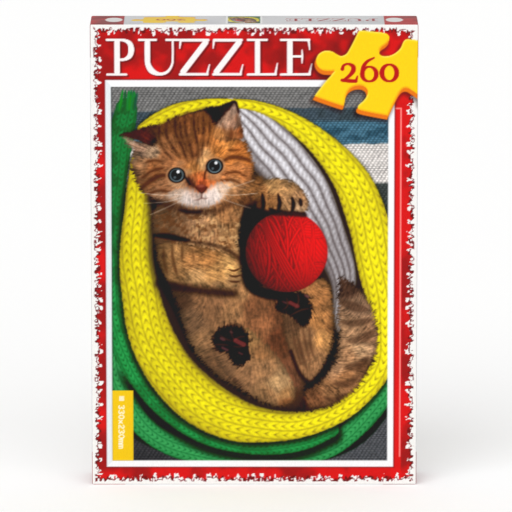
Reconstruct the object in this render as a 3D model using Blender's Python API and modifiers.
# Boxed jigsaw puzzle: a telescoping set-up box that stands on one short side.
# The lid's big face looks along -Y, the tray's base along +Y, and Z is up.
# Inside lies a clear bag with the loose pieces, settled at the lower end.
# The origin is the middle of the footprint, on the surface that the box stands on.

import math
import random

import bmesh
import bpy
from mathutils import Matrix, Vector

MM = 0.001

# the closed box
BOX_WIDTH = 195 * MM
BOX_HEIGHT = 280 * MM
BOX_DEPTH = 35 * MM
BASE_SHOWS = 1 * MM  # the tray reaches this far out of the lid's skirt

# the layers of a wall, from the outside in
PAPER = 0.25 * MM
STAY = 0.2 * MM
GAP = 0.15 * MM
BOARD = 1.5 * MM
BOARD_INSET = PAPER + GAP + STAY + GAP
WALL = BOARD_INSET + BOARD + GAP + PAPER
PANEL = BOARD_INSET + BOARD
TURN_IN = 15 * MM  # how far the paper is folded back inside the rim
STAY_LEG = 18 * MM
STAY_SHORT = 1 * MM  # a stay ends this far from the wall's two ends

# the tray inside the lid
SIDE_PLAY = 0.45 * MM
RIM_PLAY = 0.35 * MM
TRAY_INSET = WALL + SIDE_PLAY
FRONT = -BOX_DEPTH / 2
BACK = BOX_DEPTH / 2
LID_RIM = BACK - BASE_SHOWS
TRAY_RIM = FRONT + PANEL + RIM_PLAY

# the cut puzzle, 230 x 330 mm when finished
COLUMNS, ROWS = 13, 20
CELL_WIDTH = 230 * MM / COLUMNS
CELL_HEIGHT = 330 * MM / ROWS
PIECE_THICK = 1.9 * MM
KNOB_RADIUS = 2.0 * MM
KNOB_REACH = 3.9 * MM  # from the cut line to the knob's far side
NECK_HALF = 1.15 * MM
KNOB_ARC_POINTS = 6
CUT_SLACK = 0.06 * MM
SEED = 260

# how the loose pieces lie in the bag: flat layers, each a grid of places
LAYER_PITCH = 2.25 * MM
LAYERS = 11
SINGLE_LAYERS = 2  # the layers next to the lid, whose pieces are modelled one by one
PLACE_WIDTH = 26.8 * MM
PLACE_HEIGHT = 19.4 * MM
PLACES_ACROSS, PLACES_UP = 6, 4
PIECES_IN_SINGLE_LAYER = 22
PIECES_BOTTOM = 14 * MM
PIECE_TILT_DEG = 3.0
HEAP_EDGE = 2 * MM

# the clear bag
BAG_HALF_WIDTH = 90.5 * MM
BAG_BOTTOM = 6.2 * MM
BAG_TOP = 150 * MM
BAG_MIDDLE_Y = 0.35 * MM
BAG_HALF_DEPTH = 14.4 * MM
BAG_SEAM_HALF = 0.9 * MM
BAG_FILM = 0.2 * MM
BAG_FULL_TO = 96 * MM
BAG_ROUNDING = 6 * MM
BAG_COLUMNS, BAG_ROWS = 12, 14
VENT_INSET = 4 * MM


def clear_scene():
    for old in list(bpy.data.objects):
        bpy.data.objects.remove(old, do_unlink=True)


def new_collection(name):
    collection = bpy.data.collections.new(name)
    bpy.context.scene.collection.children.link(collection)
    return collection


def new_material(name, colour, roughness, metallic=0.0, alpha=1.0):
    material = bpy.data.materials.new(name)
    material.use_nodes = True
    shader = material.node_tree.nodes["Principled BSDF"]
    shader.inputs["Base Color"].default_value = (*colour, 1.0)
    shader.inputs["Roughness"].default_value = roughness
    shader.inputs["Metallic"].default_value = metallic
    shader.inputs["Alpha"].default_value = alpha
    return material


def make_materials():
    return {
        "greyboard": new_material("greyboard", (0.42, 0.38, 0.33), 0.9),
        "lid_paper": new_material("printed_lid_paper", (0.55, 0.02, 0.03), 0.35),
        "tray_paper": new_material("tray_paper", (0.78, 0.78, 0.76), 0.5),
        "stay_tape": new_material("kraft_stay_tape", (0.52, 0.36, 0.2), 0.8),
        "film": new_material("clear_bag_film", (0.9, 0.93, 0.95), 0.15, alpha=0.3),
        "puzzle_board": new_material("puzzle_board", (0.5, 0.47, 0.3), 0.6),
    }


def add_object(name, data, material, collection):
    thing = bpy.data.objects.new(name, data)
    data.materials.append(material)
    collection.objects.link(thing)
    return thing


def mesh_from(name, bm):
    mesh = bpy.data.meshes.new(name)
    bm.to_mesh(mesh)
    bm.free()
    return mesh


def add_box_shell(name, section, material, collection):
    """One half of the box, closed on one side. The section gives the wall as (inset from the box's outline,
    depth) pairs: out from the panel's outer face, round the rim and back to the panel's inner face. The
    panel's outline is drawn through them, and the last one is filled."""
    middle = BOX_HEIGHT / 2
    bm = bmesh.new()
    bmesh.ops.create_grid(bm, x_segments=1, y_segments=1, size=1)
    bmesh.ops.rotate(bm, matrix=Matrix.Rotation(math.pi / 2, 3, "X"), verts=bm.verts)
    ring = list(bm.verts)
    for step, (inset, y) in enumerate(section):
        if step:
            border = [edge for edge in bm.edges if edge.is_boundary]
            drawn = bmesh.ops.extrude_edge_only(bm, edges=border)["geom"]
            ring = [part for part in drawn if isinstance(part, bmesh.types.BMVert)]
        for vert in ring:
            vert.co.x = math.copysign(BOX_WIDTH / 2 - inset, vert.co.x)
            vert.co.y = y
            vert.co.z = middle + math.copysign(BOX_HEIGHT / 2 - inset, vert.co.z - middle * (step > 0))
    bmesh.ops.edgeloop_fill(bm, edges=[edge for edge in bm.edges if edge.is_boundary])
    bmesh.ops.recalc_face_normals(bm, faces=bm.faces)
    add_object(name, mesh_from(name, bm), material, collection)


def board_section(inset, face, rim):
    """Greyboard: a panel of even thickness with walls that run to the rim."""
    into = math.copysign(BOARD, rim - face)
    return [(inset, face), (inset, rim), (inset + BOARD, rim), (inset + BOARD, face + into)]


def wrap_section(inset, face, rim):
    """Paper: over the panel and down the walls, round the rim, and a margin turned in inside."""
    into = math.copysign(1, rim - face)
    turned_to = rim - into * TURN_IN
    inner = inset + WALL
    return [
        (inset, face),
        (inset, rim),
        (inner, rim),
        (inner, turned_to),
        (inner - PAPER, turned_to),
        (inner - PAPER, rim - into * PAPER),
        (inset + PAPER, rim - into * PAPER),
        (inset + PAPER, face + into * PAPER),
    ]


def add_lid(materials, collection):
    board_rim = LID_RIM - PAPER - GAP
    board = board_section(BOARD_INSET, FRONT + BOARD_INSET, board_rim)
    add_box_shell("lid_board", board, materials["greyboard"], collection)
    add_box_shell("lid_wrap", wrap_section(0, FRONT, LID_RIM), materials["lid_paper"], collection)
    add_stays("lid", PAPER + GAP, FRONT + PANEL, board_rim, materials["stay_tape"], collection)


def add_tray(materials, collection):
    board_rim = TRAY_RIM + PAPER + GAP
    board = board_section(TRAY_INSET + BOARD_INSET, BACK - BOARD_INSET, board_rim)
    add_box_shell("tray_board", board, materials["greyboard"], collection)
    add_box_shell("tray_wrap", wrap_section(TRAY_INSET, BACK, TRAY_RIM), materials["tray_paper"], collection)
    add_stays("tray", TRAY_INSET + PAPER + GAP, board_rim, BACK - PANEL, materials["stay_tape"], collection)


def add_stays(owner, inset, start, end, material, collection):
    """Four strips of tape, each bent round one upright corner of the board, under the paper."""
    half_width = BOX_WIDTH / 2 - inset
    half_height = BOX_HEIGHT / 2 - inset
    leg, thin = STAY_LEG, STAY
    outline = [(0, 0), (-leg, 0), (-leg, -thin), (-thin, -thin), (-thin, -leg), (0, -leg)]
    corners = {
        "top_right": (1, 1, 0),
        "top_left": (-1, 1, -90),
        "bottom_left": (-1, -1, 180),
        "bottom_right": (1, -1, 90),
    }
    length = end - start - 2 * STAY_SHORT
    for corner, (side, level, turn) in corners.items():
        name = f"{owner}_stay_{corner}"
        stay = add_object(name, flat_outline(name, outline, length), material, collection)
        stay.matrix_world = (
            Matrix.Translation((side * half_width, (start + end) / 2, BOX_HEIGHT / 2 + level * half_height))
            @ Matrix.Rotation(math.radians(turn), 4, "Y")
            @ Matrix.Rotation(math.pi / 2, 4, "X")
        )


def flat_outline(name, points, thickness):
    """A filled outline in its own XY plane, extruded half its thickness to each side."""
    curve = bpy.data.curves.new(name, "CURVE")
    curve.dimensions = "2D"
    curve.fill_mode = "BOTH"
    curve.extrude = thickness / 2
    spline = curve.splines.new("POLY")
    spline.points.add(len(points) - 1)
    for point, (x, y) in zip(spline.points, points):
        point.co = (x, y, 0, 1)
    spline.use_cyclic_u = True
    return curve


def cut_line(start, end, knob):
    """Points of one cut from start up to end: straight, with a round knob bulging to the left if knob is
    1, to the right if it is -1, or none if it is 0. A knob is cut a little smaller than its socket."""
    along = (end - start).normalized()
    across = Vector((-along.y, along.x))
    length = (end - start).length
    if knob == 0:
        return [start]
    centre = KNOB_REACH - KNOB_RADIUS
    opening = math.asin(NECK_HALF / KNOB_RADIUS)
    radius = KNOB_RADIUS + knob * CUT_SLACK
    points = [start, start + along * (length / 2 - NECK_HALF)]
    for step in range(KNOB_ARC_POINTS):
        share = step / (KNOB_ARC_POINTS - 1)
        angle = 1.5 * math.pi - opening - share * 2 * (math.pi - opening)
        points.append(
            start
            + along * (length / 2 + radius * math.cos(angle))
            + across * knob * (centre + radius * math.sin(angle))
        )
    points.append(start + along * (length / 2 + NECK_HALF))
    return points


def piece_outline(column, row):
    """The outline of one puzzle piece about its own centre, anticlockwise.
    Pieces alternate like a chessboard: knobs at the sides and sockets above and below, then the reverse."""
    half_w, half_h = CELL_WIDTH / 2, CELL_HEIGHT / 2
    sides_out = 1 if (column + row) % 2 == 0 else -1
    corners = [Vector(c) for c in ((-half_w, -half_h), (half_w, -half_h), (half_w, half_h), (-half_w, half_h))]
    knobs = [
        0 if row == 0 else sides_out,
        0 if column == COLUMNS - 1 else -sides_out,
        0 if row == ROWS - 1 else sides_out,
        0 if column == 0 else -sides_out,
    ]
    outline = []
    for index, knob in enumerate(knobs):
        outline += cut_line(corners[index], corners[(index + 1) % 4], knob)
    return outline


def picked_pieces(count):
    """Which pieces of the picture lie in the single layers: a fixed shuffle of all of them."""
    every = [(column, row) for row in range(ROWS) for column in range(COLUMNS)]
    random.Random(SEED).shuffle(every)
    return every[:count]


def place_centre(place, layer):
    across = place % PLACES_ACROSS
    up = place // PLACES_ACROSS
    return Vector(
        (
            (across - (PLACES_ACROSS - 1) / 2) * PLACE_WIDTH,
            BAG_MIDDLE_Y + (layer - (LAYERS - 1) / 2) * LAYER_PITCH,
            PIECES_BOTTOM + (up + 0.5) * PLACE_HEIGHT,
        )
    )


def add_single_pieces(materials, collection):
    """The pieces next to the lid. Each lies with its knobs or its long side across, and a little askew."""
    luck = random.Random(SEED + 1)
    count = SINGLE_LAYERS * PIECES_IN_SINGLE_LAYER
    for number, (column, row) in enumerate(picked_pieces(count)):
        layer, place = divmod(number, PIECES_IN_SINGLE_LAYER)
        name = f"puzzle_piece_{number + 1:02d}"
        outline = flat_outline(name, piece_outline(column, row), PIECE_THICK)
        piece = add_object(name, outline, materials["puzzle_board"], collection)
        knobs_upright = (column + row) % 2 == 1
        turn = (90 if knobs_upright else 0) + luck.choice((0, 180)) + luck.uniform(-1, 1) * PIECE_TILT_DEG
        piece.matrix_world = (
            Matrix.Translation(place_centre(place, layer))
            @ Matrix.Rotation(math.radians(turn), 4, "Y")
            @ Matrix.Rotation(math.pi / 2, 4, "X")
        )


def add_heap(materials, collection):
    """The rest of the pieces as one block of their layers' size."""
    first = place_centre(0, SINGLE_LAYERS)
    last = place_centre(PLACES_ACROSS * PLACES_UP - 1, LAYERS - 1)
    size = last - first + Vector((PLACE_WIDTH, PIECE_THICK, PLACE_HEIGHT))
    bm = bmesh.new()
    bmesh.ops.create_cube(bm, size=1)
    bmesh.ops.scale(bm, vec=size, verts=bm.verts)
    heap = add_object("puzzle_piece_heap", mesh_from("puzzle_piece_heap", bm), materials["puzzle_board"], collection)
    heap.location = (first + last) / 2
    bevel = heap.modifiers.new("soft edge", "BEVEL")
    bevel.width = HEAP_EDGE
    bevel.segments = 2


def bag_half_depth(x, z):
    """Half the bag's thickness: full where the pieces lie, round at its bottom and sides, flat above."""
    side = (1 - min(1, abs(x) / BAG_HALF_WIDTH) ** 12) ** 0.4
    rise = min(1, (z - BAG_BOTTOM) / BAG_ROUNDING)
    bottom = math.sqrt(max(0, 1 - (1 - rise) ** 2))
    fall = max(0, (z - BAG_FULL_TO) / (BAG_TOP - BAG_FULL_TO))
    top = 0.5 + 0.5 * math.cos(math.pi * min(1, fall))
    return BAG_SEAM_HALF + (BAG_HALF_DEPTH - BAG_SEAM_HALF) * side * bottom * top


def add_bag(materials, collection):
    """A pillow of clear film, open only at the small round vent in its empty upper part."""
    bm = bmesh.new()
    bmesh.ops.create_grid(bm, x_segments=BAG_COLUMNS, y_segments=BAG_ROWS, size=1)
    drawn = bmesh.ops.extrude_face_region(bm, geom=list(bm.faces))["geom"]
    back = {part for part in drawn if isinstance(part, bmesh.types.BMVert)}
    for vert in bm.verts:
        x = BAG_HALF_WIDTH * math.sin(vert.co.x * math.pi / 2)
        share = (1 + math.sin(vert.co.y * math.pi / 2)) / 2
        z = BAG_BOTTOM + (BAG_TOP - BAG_BOTTOM) * share
        depth = bag_half_depth(x, z)
        vert.co = (x, BAG_MIDDLE_Y + (depth if vert in back else -depth), z)
    bmesh.ops.recalc_face_normals(bm, faces=bm.faces)
    high = [f for f in bm.faces if f.normal.y < -0.5 and f.calc_center_median().z > BAG_FULL_TO]
    vented = min(high, key=lambda f: (f.calc_center_median() - Vector((0, 0, BAG_FULL_TO + 28 * MM))).length)
    bmesh.ops.inset_individual(bm, faces=[vented], thickness=VENT_INSET)
    bmesh.ops.delete(bm, geom=[vented], context="FACES_ONLY")
    bag = add_object("piece_bag", mesh_from("piece_bag", bm), materials["film"], collection)
    solidify = bag.modifiers.new("film", "SOLIDIFY")
    solidify.thickness = BAG_FILM
    solidify.offset = -1


def build_all():
    clear_scene()
    collection = new_collection("boxed_jigsaw_puzzle")
    materials = make_materials()
    add_lid(materials, collection)
    add_tray(materials, collection)
    add_bag(materials, collection)
    add_single_pieces(materials, collection)
    add_heap(materials, collection)


build_all()
